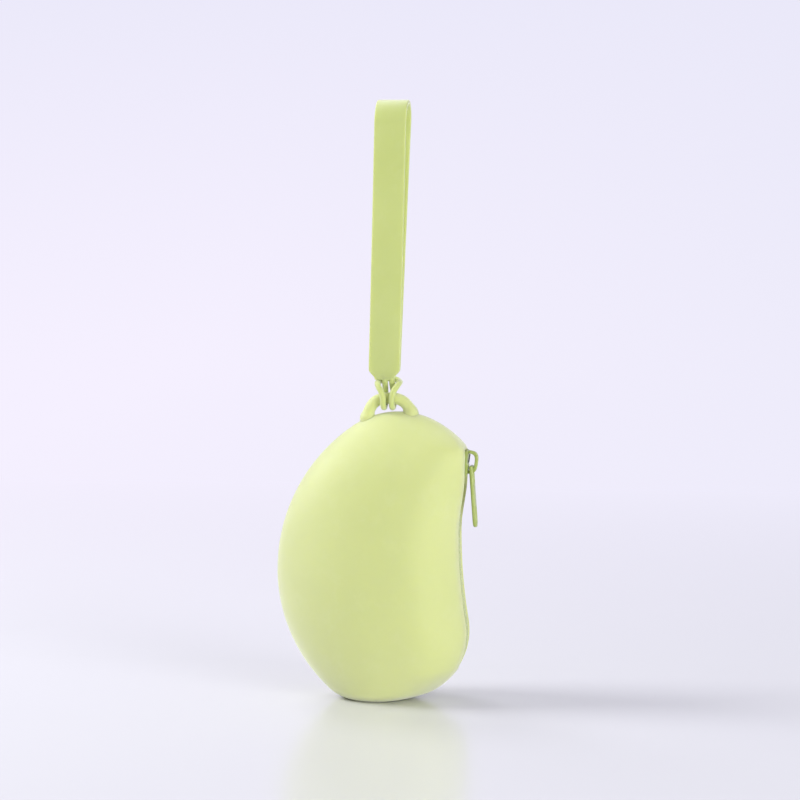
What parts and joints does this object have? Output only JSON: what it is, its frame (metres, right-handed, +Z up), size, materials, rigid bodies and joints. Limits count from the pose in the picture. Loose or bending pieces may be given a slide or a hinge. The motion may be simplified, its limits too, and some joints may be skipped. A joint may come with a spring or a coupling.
{
  "type": "silicone cosmetic pouch",
  "caption": "Bean-shaped hollow silicone pouch that stands on a flat base, with a side zip, a hanging puller and a wrist strap hitched to a lug on top.",
  "frame": {"origin": "middle of the flat base that the pouch stands on", "axes": "+Z up along the strap, +X towards the zip mouth, -Y the front face"},
  "size_m": [0.0959, 0.0548, 0.2832],
  "materials": {
    "body_silicone": "pale lime silicone, soft matt",
    "strap_silicone": "pale lime silicone, satin",
    "painted_slider": "green enamel, semi-gloss",
    "teeth_plastic": "moulded green plastic",
    "tape_fabric": "woven green tape",
    "spring_steel": "bright spring steel"
  },
  "bodies": {
    "pouch": {"pouch_body": "body_silicone", "strap_lug": "body_silicone", "front_zipper_tape": "tape_fabric", "back_zipper_tape": "tape_fabric", "front_teeth_row": "teeth_plastic", "back_teeth_row": "teeth_plastic", "front_top_stop": "painted_slider", "back_top_stop": "painted_slider", "bottom_stop": "painted_slider"},
    "slider": {"slider_body": "painted_slider", "slider_inner_plate": "painted_slider", "slider_crown": "painted_slider", "slider_lock_spring": "spring_steel"},
    "zip_puller": {"puller": "painted_slider"},
    "strap": {"wrist_strap": "strap_silicone", "strap_hitch_loop": "strap_silicone"}
  },
  "joints": [
    {"name": "slider_travel", "type": "hinge", "parent": "pouch", "child": "slider", "pos_m": [0.2887, 0, 0.079], "axis": [0, -1, 0], "range_deg": [0, 15.13]},
    {"name": "puller_swing", "type": "hinge", "parent": "slider", "child": "zip_puller", "pos_m": [0.04419, 0, 0.11104], "axis": [0, -1, 0], "range_deg": [-3, 145]},
    {"name": "strap_swing", "type": "hinge", "parent": "pouch", "child": "strap", "pos_m": [0.0053, 0, 0.1432], "axis": [1, 0, 0], "range_deg": [-90, 90]}
  ]
}
